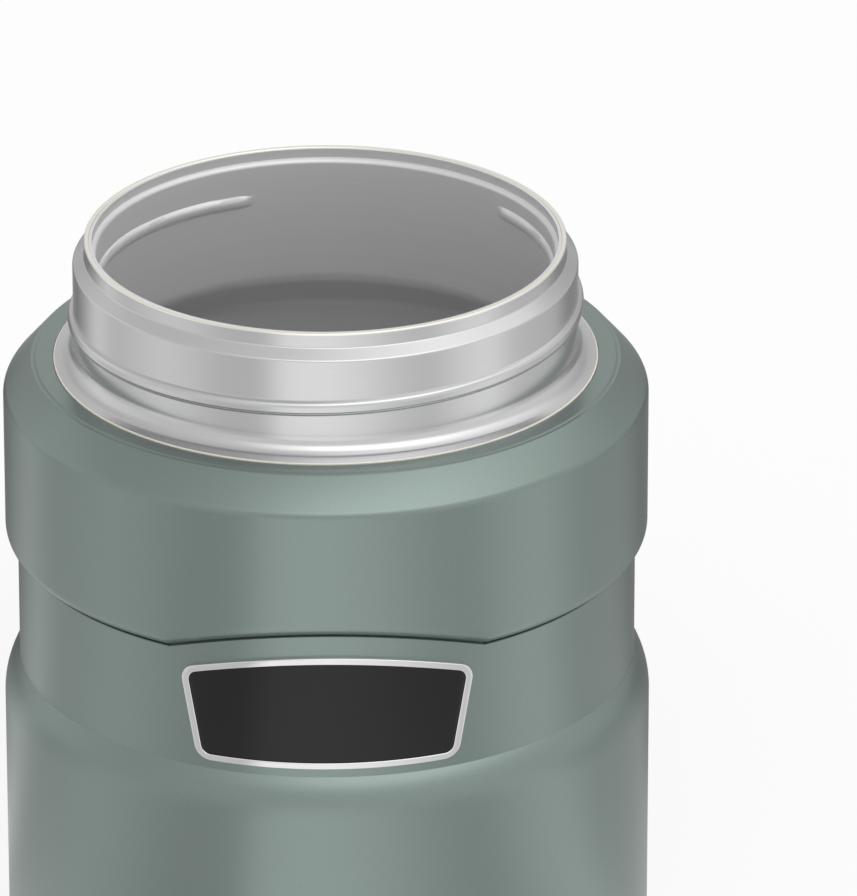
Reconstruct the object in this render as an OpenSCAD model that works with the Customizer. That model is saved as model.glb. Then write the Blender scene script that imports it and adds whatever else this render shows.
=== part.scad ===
// Vacuum-insulated food jar, standing open, with its lid set down behind it:
// the cup lid turned over as a bowl, the stopper standing in the cup, and the
// folding spoon lying in the tray on the stopper's top.
// Origin: centre of the jar's base, on the surface it stands on. Z is up,
// and the badge faces -Y.

/* [Jar body] */
// Height of the mouth above the base
jar_h = 111.6; // [100:0.1:150]
// Thickness of every formed steel wall
wall = 0.5; // [0.4:0.05:0.8]
// Diameter of the body below the grip band
body_d = 95; // [86:0.1:106]
// Step from the body's wall in to the shoulder ring's wall
ring_step = 0.45; // [0.1:0.05:0.8]
// Depth of the recessed grip band below the body's wall
band_depth = 2.25; // [1.8:0.05:3]
// Width of the shoulder, from the ring's wall in to the neck
shoulder_w = 10.35; // [9.4:0.05:12]
// Height of the neck, from the shoulder to the mouth
neck_h = 18.3; // [16:0.1:26]
// Height of the ring, from the shoulder down to its lower edge
ring_h = 28.1; // [24:0.1:32]
// Height of the grip band
band_h = 18.5; // [18:0.1:26]
// Width of the flat between the neck's flange and the shoulder's round
shoulder_flat_w = 2.5; // [1.6:0.1:4]
// Slope of the shoulder's cone below the horizontal, in degrees
shoulder_slope = 49; // [44:1:56]
// Radius where the shoulder turns down into its cone
shoulder_round = 1.7; // [1:0.1:3]
// Radius where the cone meets the ring's wall
ring_round = 2.5; // [1.2:0.1:4]
// Radius under the ring
under_round = 3.7; // [2.5:0.1:5]
// Radius from the grip band out to the body
band_round = 10.9; // [6:0.1:14]
// Radius round the foot
foot_round = 3; // [1.5:0.1:4]

/* [Arch over the badge] */
// Rise of the arch above the ring's lower edge
arch_rise = 4.2; // [2.5:0.1:7]
// Half of the angle that the arch spans round the body
arch_half_angle = 30; // [26:1:34]

/* [Badge] */
// Gap from each end of the arch in to the badge's top corner
badge_side_gap = 1.1; // [0.5:0.1:4]
// Distance by which each side of the badge leans in towards its foot
badge_lean = 3; // [0:0.1:5]
// Gap from the crown of the arch down to the badge
badge_head_gap = 3.6; // [2:0.1:6]
// Gap from the foot of the grip band to the badge
badge_foot_gap = 1.7; // [1:0.1:3]
// Radius of the badge's arched top
badge_arc_r = 64; // [50:1:120]
// Width of the badge's bright frame
bezel_w = 1.05; // [0.7:0.05:2]
// Radius of the badge's corners
badge_corner_r = 1.6; // [0.8:0.1:3]
// Thickness of the adhesive pad
tape_t = 0.2; // [0.1:0.05:0.4]
// Thickness of the black plate
plate_t = 0.35; // [0.2:0.05:0.5]
// Thickness of the bright frame
bezel_t = 0.6; // [0.4:0.05:0.8]

/* [Neck and mouth] */
// Width of the lip, from the neck's wall in to the lip's crest
lip_w = 1.9; // [1.7:0.05:2.3]
// Width of the slope from the crest down to the neck's edge band
lip_slope_w = 1.6; // [1.2:0.05:1.65]
// Height of that slope
lip_slope_h = 1.4; // [0.8:0.1:2]
// Height from the mouth down to where the neck is full width
lip_h = 3.5; // [2.6:0.1:5]
// Width of the flange at the neck's foot
flange_w = 2.95; // [2.7:0.05:3.6]
// Height of the flange's top above the shoulder
flange_stand = 0.2; // [0.1:0.05:0.4]
// Gap round the flange's edge
flange_gap = 0.1; // [0.05:0.05:0.3]
// Radius of the hollow fillet above the flange
flare_round = 2.6; // [1.5:0.1:2.65]
// Step from the neck's outer wall in to the mouth's clear bore
mouth_step = 3.5; // [3.3:0.05:4.5]
// Straight length of the mouth's wall
mouth_len = 18; // [14:0.1:22]
// Depth of the wider lead-in at the top of the mouth
lead_in_h = 1.6; // [1.5:0.1:2.5]

/* [Food vessel] */
// Gap of the vacuum space between the grip band's wall and the vessel
vacuum_gap = 3.25; // [2:0.05:5]
// Radius where the mouth's wall turns out into the vessel's shoulder
vessel_neck_round = 2.5; // [1.5:0.1:3.5]
// Radius where the shoulder turns down into the vessel's wall
vessel_top_round = 5; // [3:0.1:7]
// Slope of the vessel's shoulder below the horizontal, in degrees
vessel_slope = 40; // [34:1:46]
// Radius of the vessel's bottom corner
vessel_round = 9; // [5:0.1:14]
// Gap from the bottom pan to the vessel
vessel_foot_gap = 2.8; // [2.4:0.1:6]
// Thickness of the copper foil
foil_t = 0.2; // [0.1:0.05:0.4]
// Height of the foil above and below which the vessel is bare
foil_margin = 4; // [2:0.5:10]

/* [Bottom] */
// Width of the foot rim, from the body's wall in to the bottom pan
foot_w = 5.5; // [5:0.1:8]
// Height of the bottom pan's disc above the surface
pan_h = 3.2; // [2.6:0.1:5]
// Recess of the cover disc above the surface
base_recess = 1.2; // [0.6:0.1:1.8]
// Diameter of the pump-out hole
vent_d = 2.4; // [1.5:0.1:4]
// Diameter of the seal under the pump-out hole
seal_d = 7; // [5:0.5:9]
// Thickness of that seal
seal_t = 1; // [0.6:0.1:1.2]
// Diameter of the getter pill
getter_d = 8; // [5:0.5:12]
// Thickness of the getter pill
getter_t = 1.6; // [1:0.1:2]
// Distance of the getter from the centre
getter_x = 20; // [10:1:28]

/* [Cup lid] */
// Clearance between the neck's wall and the collar, which holds the thread
thread_gap = 1.4; // [1.2:0.05:1.8]
// Width of the cup lid's rim, from the collar's bore to the outside
cup_rim_w = 4.9; // [4.6:0.1:6]
// Distance by which the cup's wall leans in towards its closed end
cup_lean_w = 1.8; // [0.5:0.1:3]
// Height of the cup lid
cup_h = 49; // [46:0.5:56]
// Radius round the cup's closed end
cup_round = 6; // [3:0.5:9]
// Depth of the shallow dish in the closed end
cup_dish_h = 0.8; // [0.4:0.1:1.4]
// Width of the flat ring that the cup stands on
cup_stand_w = 2.4; // [1:0.1:5]
// Insulating gap between the cup's two walls
cup_gap = 1.7; // [1:0.1:2.2]
// Height of the cup's inner floor above its closed end
cup_floor_h = 6; // [4:0.1:8]
// Height of the collar's sleeve
collar_h = 12; // [9:0.5:16]
// Thickness of the collar's rim flange
collar_rim_t = 1.6; // [1:0.1:2.4]

/* [Stopper] */
// Clearance between the mouth's bore and the stopper's plug
plug_clearance = 1; // [0.7:0.05:3]
// Height of the plug below its flange
plug_h = 30; // [28:0.5:36]
// Wall of the moulded plug
plug_wall = 2; // [1.2:0.1:3]
// Radius round the plug's lower edge
plug_round = 3; // [1:0.5:5]
// Overhang of the stopper's flange past the neck's wall
stopper_overhang = 0.3; // [0:0.05:0.8]
// Thickness of the flange
stopper_flange_t = 3; // [2:0.1:5]
// Width of the seal ring round the plug
gasket_w = 1.3; // [1:0.05:1.5]
// Height of the seal ring
gasket_h = 1.5; // [1:0.1:1.5]
// Height of the grip ring above the flange
grip_h = 11; // [9:0.1:12]
// Number of grip flutes round the stopper
flutes = 24; // [12:1:36]
// Radius of each flute
flute_r = 3; // [2:0.1:4]
// Depth of each flute
flute_depth = 0.7; // [0.4:0.1:1]
// Wall of the grip ring between the flutes
grip_wall = 2; // [1.6:0.1:3]
// Depth of the tray in the stopper's top
tray_depth = 5; // [4:0.1:6]
// Thickness of the tray's floor
tray_t = 1.6; // [1:0.1:2.4]

/* [Spoon] */
// Clearance at each end of the folded spoon in the stopper's tray
spoon_clearance = 2; // [1:0.1:6]
// Length of the tail from the bowl to the hinge pin
tail_l = 15; // [13:0.5:18]
// Width of the spoon's bowl
bowl_w = 33; // [26:0.5:36]
// Depth of the bowl outside
bowl_depth = 6.5; // [5:0.1:7]
// Thickness of the spoon's sheet
spoon_t = 1; // [0.8:0.1:1.4]
// Distance of the rim below the hinge pin
rim_drop = 2.2; // [2:0.1:3]
// Width of the spoon's tail at the hinge
tail_w = 10; // [7:0.5:11]
// Width of the tail where it leaves the bowl
tail_root_w = 15; // [12:0.5:17]
// Radius of the tail's knuckle
knuckle_r = 2.4; // [2.1:0.1:2.8]
// Diameter of the hinge pin
pin_d = 2.4; // [1.6:0.1:3]
// Running clearance round the hinge pin
pin_clearance = 0.05; // [0.02:0.01:0.1]
// Width of the pin's riveted heads
rivet_d = 4.4; // [3.4:0.1:5]
// Height of each riveted head
rivet_t = 0.6; // [0.4:0.1:1]
// Gap on each side between the tail and the handle's ears
ear_gap = 1.2; // [0.4:0.1:2]
// Distance by which the handle narrows from the hinge to its free end
handle_taper = 3.4; // [0:0.1:5]
// Depth of the handle's side flanges below its plate
flange_drop = 3.6; // [2:0.1:3.8]
// Width of the spring catch
catch_w = 8; // [6:0.1:8.6]
// Length of the spring catch
catch_l = 34; // [24:0.5:36]
// Distance of the catch's tip from the hinge pin
catch_gap = 4.4; // [3.6:0.1:8]
// Thickness of the spring catch
catch_t = 0.7; // [0.5:0.1:0.9]
// Length of the raised oval on the catch
catch_oval_l = 13; // [8:0.5:18]
// Width of that oval
catch_oval_w = 4; // [2:0.5:5]
// Height of that oval
catch_oval_t = 0.4; // [0.2:0.1:0.5]

/* [Set-down places and gaps] */
// Gap between the jar's body and the cup behind it
cup_gap_behind = 0.5; // [0.3:0.1:10]
// Gap between pieces that only rest on each other at a round place
rest_gap = 0.3; // [0.2:0.05:0.4]

/* [Hidden] */
$fn = 120;
over = 1;          // how far a cutter runs past what it cuts

body_r = body_d / 2;
ring_r = body_r - ring_step;
band_r = body_r - band_depth;
neck_r = ring_r - shoulder_w;
lip_r = neck_r - lip_w;
flange_r = neck_r + flange_w;
mouth_r = neck_r - mouth_step;
vessel_r = band_r - wall - vacuum_gap;
foot_hole_r = body_r - foot_w;
collar_bore_r = neck_r + thread_gap;
cup_r = collar_bore_r + cup_rim_w;

shoulder_z = jar_h - neck_h;
ring_z = shoulder_z - ring_h;
band_z = ring_z - band_h;
flange_z = shoulder_z + flange_stand;    // top of the flange
shelf_z = flange_z - wall;               // the flange lies in a shallow joggle
foot_flat_r = body_r - foot_round;       // the foot's flat ring ends here
cup_y = body_r + cup_gap_behind + cup_r;

// points along an arc about [cx, cz], from angle a0 to a1
function arc(cx, cz, r, a0, a1, n = 10) =
    [for (k = [0:n]) let (a = a0 + (a1 - a0) * k / n) [cx + r * cos(a), cz + r * sin(a)]];

function flip(points) = [for (k = [len(points) - 1:-1:0]) points[k]];

// ---------------------------------------------------------------- outer shell
// The shoulder's cone is tangent to the round at its top and the round at the ring.
slope_n = [sin(shoulder_slope), cos(shoulder_slope)];
shoulder_c = [flange_r + shoulder_flat_w, shoulder_z - shoulder_round];
ring_c_r = ring_r - ring_round;
ring_c_z = (slope_n * shoulder_c + shoulder_round - ring_round - slope_n[0] * ring_c_r) / slope_n[1];

// Angle of the round under the ring where it meets the grip band
function under_angle(inset) =
    acos((band_r - inset - ring_r + under_round) / (under_round - inset));
under_h = under_round * sin(under_angle(0));

band_c_r = body_r - band_round;
function band_angle(inset) = acos((band_r - inset - band_c_r) / (band_round - inset));
band_c_z = band_z - band_round * sin(band_angle(0));

// The shell is pressed from sheet. Each line below is its outer face, or with an
// inset its inner face. The top and the foot are revolved; the belt between them,
// which holds the arch, is swept round with its edge at a height that changes.
arch_half_w = band_r * sin(arch_half_angle);
arch_r = (pow(arch_half_w, 2) + pow(arch_rise, 2)) / (2 * arch_rise);
arch_c_z = ring_z + arch_rise - arch_r;
belt_top_z = ring_z + arch_rise + under_h + over;
belt_foot_z = ring_z - over;

// Height of the ring's lower edge at angle a round the body, 0 in front
function edge_z(a) = abs(a) < arch_half_angle
    ? arch_c_z + sqrt(pow(arch_r, 2) - pow(band_r * sin(a), 2)) : ring_z;

function top_line(inset) = concat(
    [[neck_r, shelf_z - inset], [flange_r + flange_gap + inset, shelf_z - inset],
     [flange_r + flange_gap + inset, shoulder_z - inset]],
    arc(shoulder_c[0], shoulder_c[1], shoulder_round - inset, 90, 90 - shoulder_slope),
    arc(ring_c_r, ring_c_z, ring_round - inset, 90 - shoulder_slope, 0),
    [[ring_r - inset, belt_top_z]]);

function belt_line(inset, a) = concat(
    [[ring_r - inset, belt_top_z]],
    arc(ring_r - under_round, edge_z(a) + under_h, under_round - inset,
        0, -under_angle(inset), under_steps),
    [[band_r - inset, belt_foot_z]]);

function foot_line(inset) = concat(
    [[band_r - inset, belt_foot_z]],
    arc(band_c_r, band_c_z, band_round - inset, band_angle(inset), 0),
    arc(foot_flat_r, foot_round, foot_round - inset, 0, -90),
    [[foot_hole_r, inset]]);

// The belt's flat facets stay inside the round walls above and below it, so its
// faces lie this much inside theirs.
belt_steps = 96;
under_steps = 6;
belt_play = 0.02;
facet_play = band_r * (1 - cos(180 / belt_steps));

module shell_belt() {
    angles = [for (k = [0:belt_steps - 1]) 360 * k / belt_steps - 180];
    lines = [for (a = angles)
        concat(belt_line(belt_play, a), flip(belt_line(wall - belt_play - facet_play, a)))];
    m = len(lines[0]);
    points = [for (k = [0:belt_steps - 1]) for (p = lines[k])
        [p[0] * sin(angles[k]), -p[0] * cos(angles[k]), p[1]]];
    faces = [for (k = [0:belt_steps - 1]) let (n = (k + 1) % belt_steps)
        for (j = [0:m - 1]) let (i = (j + 1) % m)
        each [[k * m + j, n * m + i, k * m + i], [k * m + j, n * m + j, n * m + i]]];
    polyhedron(points = points, faces = faces, convexity = 8);
}

module outer_shell() {
    color("#7d8e86") {
        rotate_extrude() polygon(concat(top_line(0), flip(top_line(wall))));
        shell_belt();
        rotate_extrude() polygon(concat(foot_line(0), flip(foot_line(wall))));
    }
}

// ----------------------------------------------------------------------- neck
flare_z = flange_z + flare_round;

function neck_outline(inset) = concat(
    [[lip_r - inset, jar_h - inset], [lip_r + lip_slope_w - inset, jar_h - lip_slope_h - inset / 2],
     [neck_r - inset, jar_h - lip_h]],
    arc(neck_r + flare_round, flare_z, flare_round + inset, 180, 270),
    [[flange_r, flange_z - inset]]);

module neck_sleeve() {
    color("#c9cbcd") rotate_extrude()
        polygon(concat(neck_outline(0), flip(neck_outline(wall))));
}

// --------------------------------------------------------------- inner vessel
vessel_floor_z = pan_h + wall + vessel_foot_gap;
mouth_foot_z = jar_h - lead_in_h - mouth_len;
neck_out_r = mouth_r + wall;
vessel_n = [sin(vessel_slope), cos(vessel_slope)];
neck_round_c = [neck_out_r + vessel_neck_round, mouth_foot_z];
// The shoulder's cone is tangent to the hollow round above and the full round below
vessel_top_z = (vessel_n * neck_round_c - vessel_neck_round - vessel_top_round
                - vessel_n[0] * (vessel_r - vessel_top_round)) / vessel_n[1];
lead_r = lip_r - 2 * wall;               // inside of the lead-in

// Outline of the vessel's outside, moved outwards by grow (negative is inwards)
function vessel_outline(grow) = concat(
    [[0, vessel_floor_z - grow]],
    arc(vessel_r - vessel_round, vessel_floor_z + vessel_round, vessel_round + grow, -90, 0),
    arc(vessel_r - vessel_top_round, vessel_top_z, vessel_top_round + grow, 0, 90 - vessel_slope),
    arc(neck_round_c[0], neck_round_c[1], vessel_neck_round - grow, 270 - vessel_slope, 180),
    [[neck_out_r + grow, jar_h - lead_in_h - wall]]);

module inner_vessel() {
    color("#bfc1c3") rotate_extrude() polygon(concat(
        vessel_outline(0),
        [[lip_r - wall, jar_h - lead_in_h - wall / 2], [lip_r - wall, jar_h],
         [lead_r, jar_h], [lead_r, jar_h - lead_in_h]],
        flip(vessel_outline(-wall))));
}

module heat_foil() {
    color("#b87a4b") translate([0, 0, vessel_floor_z + vessel_round + foil_margin]) difference() {
        cylinder(r = vessel_r + foil_t,
                 h = vessel_top_z - vessel_floor_z - vessel_round - 2 * foil_margin);
        translate([0, 0, -over]) cylinder(r = vessel_r, h = jar_h);
    }
}

// --------------------------------------------------------------------- bottom
module shell_bottom() {
    color("#a9acae") difference() {
        union() {
            translate([0, 0, wall]) cylinder(r = foot_flat_r, h = wall);
            translate([0, 0, wall]) cylinder(r = foot_hole_r + wall, h = pan_h);
        }
        translate([0, 0, -over]) cylinder(r = foot_hole_r, h = pan_h + over);
        cylinder(d = vent_d, h = 2 * pan_h);
    }
}

module base_plate() {
    color("#b4b7b9") difference() {
        cylinder(r = foot_hole_r, h = base_recess + wall);
        translate([0, 0, -over]) cylinder(r = foot_hole_r - wall, h = base_recess + over);
        translate([0, 0, -over]) cylinder(r = foot_hole_r, h = wall / 2 + over);
    }
}

module vacuum_seal() {
    color("#8a8d90") {
        translate([0, 0, pan_h - seal_t]) cylinder(d = seal_d, h = seal_t);
        translate([0, 0, pan_h - seal_t]) cylinder(d = vent_d, h = seal_t + wall);
    }
}

module getter() {
    color("#5d6063") translate([getter_x, 0, pan_h + wall]) cylinder(d = getter_d, h = getter_t);
}

// ---------------------------------------------------------------------- badge
badge_z = band_z + badge_foot_gap;
badge_h = ring_z + arch_rise - badge_head_gap - badge_z;
badge_top_x = arch_half_w - badge_side_gap;
badge_foot_x = badge_top_x - badge_lean;

// The badge's outline seen from the front, moved inwards by inset
module badge_outline(inset) {
    offset(r = badge_corner_r) offset(delta = -badge_corner_r - inset) intersection() {
        polygon([[-badge_foot_x, 0], [badge_foot_x, 0],
                 [badge_top_x, badge_h], [-badge_top_x, badge_h]]);
        translate([0, badge_h - badge_arc_r]) circle(r = badge_arc_r);
    }
}

// A sheet of the badge, bent round the band, from radius r to r + t
module badge_sheet(r, t, inset) {
    intersection() {
        translate([0, 0, badge_z]) rotate([90, 0, 0])
            linear_extrude(body_r + over) badge_outline(inset, $fn = 32);
        difference() {
            cylinder(r = r + t, h = jar_h);
            cylinder(r = r, h = jar_h);
        }
    }
}

module badge_tape() {
    color("#3a3c3d") badge_sheet(band_r, tape_t, bezel_w);
}

module badge_plate() {
    color("#1d1f20") badge_sheet(band_r + tape_t, plate_t, bezel_w);
}

module badge_bezel() {
    color("#cfd2d4") difference() {
        badge_sheet(band_r, bezel_t, 0);
        translate([0, 0, badge_z]) rotate([90, 0, 0])
            linear_extrude(body_r + over) badge_outline(bezel_w, $fn = 32);
    }
}

// -------------------------------------------------------------------- cup lid
cup_foot_r = cup_r - cup_lean_w;
cup_lean = atan((cup_r - cup_foot_r) / cup_h);
cup_corner_r = cup_foot_r - cup_round;

// Radius of the cup's outside at height z
function cup_wall_r(z) = cup_foot_r + (cup_r - cup_foot_r) * z / cup_h;

// Round at the closed end and wall up to height top, moved inwards by inset
function cup_outline(inset, floor_z, round, top) = concat(
    arc(cup_wall_r(floor_z + round) - inset - round, floor_z + round, round, -90, -cup_lean),
    [[cup_wall_r(top) - inset, top]]);

collar_z = cup_h - collar_h;
liner_inset = wall + cup_gap;
cup_floor_z = cup_floor_h + wall;        // top of the cup's inner floor

module cup_outer() {
    dish_r = cup_corner_r - cup_stand_w;
    color("#7d8e86") translate([0, cup_y, 0]) rotate_extrude() polygon(concat(
        [[0, cup_dish_h], [dish_r, cup_dish_h], [dish_r + wall, 0]],
        cup_outline(0, 0, cup_round, cup_h - collar_rim_t),
        flip(cup_outline(wall, wall, cup_round - wall, cup_h - collar_rim_t)),
        [[dish_r + wall, wall], [dish_r, cup_dish_h + wall], [0, cup_dish_h + wall]]));
}

module cup_liner() {
    color("#c4c6c8") translate([0, cup_y, 0]) rotate_extrude() polygon(concat(
        [[0, cup_floor_h]],
        cup_outline(liner_inset, cup_floor_h, cup_round, cup_h - collar_rim_t),
        flip(cup_outline(liner_inset + wall, cup_floor_z, cup_round - wall, cup_h - collar_rim_t)),
        [[0, cup_floor_z]]));
}

// Moulded collar: its rim flange caps both steel walls, its sleeve lines the liner
module cup_collar() {
    rim_z = cup_h - collar_rim_t;
    color("#4b4f50") translate([0, cup_y, 0]) rotate_extrude() polygon([
        [collar_bore_r, collar_z], [collar_bore_r, cup_h],
        [cup_r, cup_h], [cup_wall_r(rim_z), rim_z],
        [cup_wall_r(rim_z) - liner_inset - wall, rim_z],
        [cup_wall_r(collar_z) - liner_inset - wall, collar_z]]);
}

// -------------------------------------------------------------------- stopper
plug_r = mouth_r - plug_clearance;
stopper_r = neck_r + stopper_overhang;
flange_top = plug_h + stopper_flange_t;
grip_top = flange_top + grip_h;
tray_z = grip_top - tray_depth;
grip_r = stopper_r - wall;
tray_r = grip_r - flute_depth - grip_wall;

module at_stopper() {
    translate([0, cup_y, cup_floor_z]) children();
}

module stopper_body() {
    color("#3f4344") at_stopper() rotate_extrude() polygon(concat(
        [[0, 0]],
        arc(plug_r - plug_round, plug_round, plug_round, -90, 0),
        [[plug_r, plug_h], [plug_r - plug_wall, plug_h],
         [plug_r - plug_wall, plug_wall], [0, plug_wall]]));
}

module stopper_foam() {
    color("#e6dfc8") at_stopper() translate([0, 0, plug_wall])
        cylinder(r = plug_r - plug_wall, h = flange_top - 2 * plug_wall);
}

// Seal ring: a soft ring whose lip leans out under the flange
module stopper_gasket() {
    gasket_r = plug_r + gasket_w;
    color("#9fa5a3") at_stopper() rotate_extrude() polygon([
        [plug_r, plug_h - gasket_h], [(plug_r + gasket_r) / 2, plug_h - gasket_h],
        [gasket_r, plug_h - gasket_h / 3], [gasket_r, plug_h], [plug_r, plug_h]]);
}

// Lid of the plug: its flange lies on the plug's wall, and the grip stands on the flange
module stopper_cover() {
    color("#3f4344") at_stopper() difference() {
        union() {
            translate([0, 0, plug_h]) cylinder(r = stopper_r, h = stopper_flange_t);
            stopper_grip();
        }
        translate([0, 0, plug_h - over])
            cylinder(r = plug_r - plug_wall, h = tray_z - tray_t - plug_h + over);
        translate([0, 0, flange_top]) cylinder(r = tray_r, h = tray_z - tray_t - flange_top);
        translate([0, 0, tray_z]) cylinder(r = tray_r, h = tray_depth + over);
    }
}

// Fluted grip, rooted in the flange
module stopper_grip() {
    root_z = flange_top - stopper_flange_t / 2;
    difference() {
        translate([0, 0, root_z]) cylinder(r = grip_r, h = grip_top - root_z);
        for (k = [0:flutes - 1]) rotate(360 * k / flutes)
            translate([grip_r + flute_r - flute_depth, 0, root_z - over])
                cylinder(r = flute_r, h = grip_top - root_z + 2 * over, $fn = 32);
    }
}

// ---------------------------------------------------------------------- spoon
// The spoon's own frame: the hinge pin lies along Y through its origin, the
// bowl reaches out along -X, and the handle is folded back over the bowl.
pin_r = pin_d / 2;
ear_r = knuckle_r + spoon_t;
bowl_reach = 2 * (tray_r - spoon_clearance) - ear_r;
bowl_l = bowl_reach - tail_l;
bowl_c_x = bowl_l / 2 - bowl_reach;
spoon_z = cup_floor_z + tray_z + rest_gap + bowl_depth + rim_drop;
spoon_x = (bowl_reach - ear_r) / 2;

module at_spoon() {
    translate([spoon_x, cup_y, spoon_z]) children();
}

// The bowl is the hull of two ellipsoids: a wide one near its tip and a narrower one
// near its tail. Their places and sizes are shares of the bowl's half length and width.
bowl_tip_at = -0.12;
bowl_tip_l = 1 + bowl_tip_at;
bowl_tail_at = 0.22;
bowl_tail_l = 1 - bowl_tail_at;
bowl_tail_w = 0.86;

// Egg-shaped dish under the rim plane, shrunk all round by inset
module bowl_form(inset) {
    half_l = bowl_l / 2 - inset;
    half_w = bowl_w / 2 - inset;
    depth = bowl_depth - inset;
    translate([bowl_c_x, 0, -rim_drop]) difference() {
        hull() {
            translate([bowl_tip_at * half_l, 0, 0])
                scale([bowl_tip_l * half_l, half_w, depth]) sphere(r = 1, $fn = 48);
            translate([bowl_tail_at * half_l, 0, 0])
                scale([bowl_tail_l * half_l, bowl_tail_w * half_w, depth]) sphere(r = 1, $fn = 48);
        }
        translate([-bowl_l, -bowl_w, 0]) cube([2 * bowl_l, 2 * bowl_w, 2 * bowl_depth]);
    }
}

module spoon_bowl() {
    root_x = bowl_c_x + bowl_l / 2 - 3 * spoon_t;
    color("#c8cacc") at_spoon() {
        difference() {
            bowl_form(0);
            bowl_form(spoon_t);
        }
        difference() {
            union() {
                rotate([90, 0, 0]) cylinder(r = knuckle_r, h = tail_w, center = true);
                intersection() {
                    rotate([90, 0, 0]) linear_extrude(tail_root_w, center = true)
                        polygon([[root_x, -rim_drop - spoon_t], [0, -knuckle_r],
                                 [0, spoon_t - knuckle_r], [root_x, -rim_drop]]);
                    linear_extrude(bowl_depth * 2, center = true)
                        polygon([[root_x, -tail_root_w / 2], [-2 * knuckle_r, -tail_w / 2],
                                 [0, -tail_w / 2], [0, tail_w / 2],
                                 [-2 * knuckle_r, tail_w / 2], [root_x, tail_root_w / 2]]);
                }
            }
            rotate([90, 0, 0]) cylinder(r = pin_r + pin_clearance, h = tail_w + over, center = true);
        }
    }
}

// Outline of the handle's plate from above. Folded, its free end lies over the bowl's tip.
handle_w = tail_w + 2 * (ear_gap + spoon_t);
handle_tip_r = (handle_w - handle_taper) / 2;

module handle_outline(inset) {
    polygon(concat(
        [[0, handle_w / 2 - inset], [0, -handle_w / 2 + inset]],
        arc(handle_tip_r - bowl_reach, 0, handle_tip_r - inset, 270, 90, 16)));
}

plate_z = ear_r - spoon_t;

module spoon_handle() {
    color("#c8cacc") at_spoon() difference() {
        union() {
            translate([0, 0, ear_r - spoon_t - flange_drop])
                linear_extrude(flange_drop + spoon_t) handle_outline(0);
            rotate([90, 0, 0]) cylinder(r = ear_r, h = handle_w, center = true);
        }
        translate([0, 0, plate_z - 2 * ear_r]) linear_extrude(2 * ear_r) handle_outline(spoon_t);
        translate([-over, spoon_t - handle_w / 2, -2 * ear_r])
            cube([2 * ear_r, handle_w - 2 * spoon_t, 4 * ear_r]);
        rotate([90, 0, 0]) cylinder(r = pin_r, h = 2 * handle_w, center = true);
    }
}

module spoon_pin() {
    color("#b9bcbe") at_spoon() rotate([90, 0, 0]) {
        cylinder(r = pin_r, h = handle_w, center = true);
        for (side = [0, 1]) mirror([0, 0, side])
            translate([0, 0, handle_w / 2]) cylinder(r1 = rivet_d / 2, r2 = pin_r, h = rivet_t);
    }
}

// Spring leaf under the handle's plate, with a round tip and a raised oval
module spoon_catch() {
    leaf_z = plate_z - catch_t;
    tip_r = catch_w / 2;
    color("#d3d5d6") at_spoon() {
        translate([-catch_gap - tip_r, 0, leaf_z]) {
            cylinder(r = tip_r, h = catch_t);
            translate([tip_r - catch_l, -tip_r, 0]) cube([catch_l - tip_r, catch_w, catch_t]);
            for (x = [0, catch_oval_w - catch_oval_l])
                translate([x, 0, -catch_oval_t]) cylinder(d = catch_oval_w, h = catch_t);
            translate([catch_oval_w - catch_oval_l, -catch_oval_w / 2, -catch_oval_t])
                cube([catch_oval_l - catch_oval_w, catch_oval_w, catch_t]);
        }
    }
}

outer_shell();
neck_sleeve();
inner_vessel();
shell_bottom();
base_plate();
vacuum_seal();
getter();
heat_foil();
badge_tape();
badge_plate();
badge_bezel();
cup_outer();
cup_liner();
cup_collar();
stopper_body();
stopper_cover();
stopper_foam();
stopper_gasket();
spoon_bowl();
spoon_handle();
spoon_pin();
spoon_catch();
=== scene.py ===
"""Insulated food jar, open, with its cup lid, stopper and folding spoon set down behind it."""
import math

import bpy
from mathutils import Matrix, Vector


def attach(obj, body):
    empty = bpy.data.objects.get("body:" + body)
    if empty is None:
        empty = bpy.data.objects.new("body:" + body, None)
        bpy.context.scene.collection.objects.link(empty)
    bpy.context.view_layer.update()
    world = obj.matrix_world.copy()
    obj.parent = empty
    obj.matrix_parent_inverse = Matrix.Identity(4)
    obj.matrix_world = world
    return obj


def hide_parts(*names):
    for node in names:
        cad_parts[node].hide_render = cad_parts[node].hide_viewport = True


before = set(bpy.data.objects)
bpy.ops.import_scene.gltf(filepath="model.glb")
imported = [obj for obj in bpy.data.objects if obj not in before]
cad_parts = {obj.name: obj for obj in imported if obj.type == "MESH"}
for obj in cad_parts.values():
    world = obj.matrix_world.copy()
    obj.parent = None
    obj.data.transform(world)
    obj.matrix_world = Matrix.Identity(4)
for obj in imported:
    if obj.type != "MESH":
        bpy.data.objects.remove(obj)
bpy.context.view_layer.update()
MM = 0.001

# ------------------------------------------------------------------------ camera
# A long lens, some 24 degrees above the jar, a little to the left of the frame's
# middle, so the mouth is open to view and the foot lies below the frame.
camera_at = Vector((0.0, -1.3645, 0.6918))
camera_looks_at = Vector((0.01494, -0.00072, 0.0784))
bpy.ops.object.camera_add(location=camera_at)
camera = bpy.context.object
camera.name = "camera"
camera.rotation_euler = (camera_looks_at - camera_at).to_track_quat("-Z", "Y").to_euler()
camera.data.lens = 411.2
camera.data.sensor_width = 36.0
camera.data.clip_end = 20.0
bpy.context.scene.camera = camera
bpy.context.scene.view_settings.view_transform = "Standard"


# ------------------------------------------------------------------------ studio
# A white sweep in a soft light tent: a plain white floor, cloth all round whose grey levels change
# with azimuth in three heights, and a ring of grey and white cards laid on the floor round the jar,
# which only its reflections show. The cards are lit by nothing: they glow, and their glow stands in
# for light falling on real cards.
def linear(colour):
    """Turn an sRGB hex colour into linear RGBA."""
    parts = [int(colour[k:k + 2], 16) / 255 for k in (1, 3, 5)]
    return [c / 12.92 if c <= 0.04045 else ((c + 0.055) / 1.055) ** 2.4 for c in parts] + [1.0]


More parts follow.
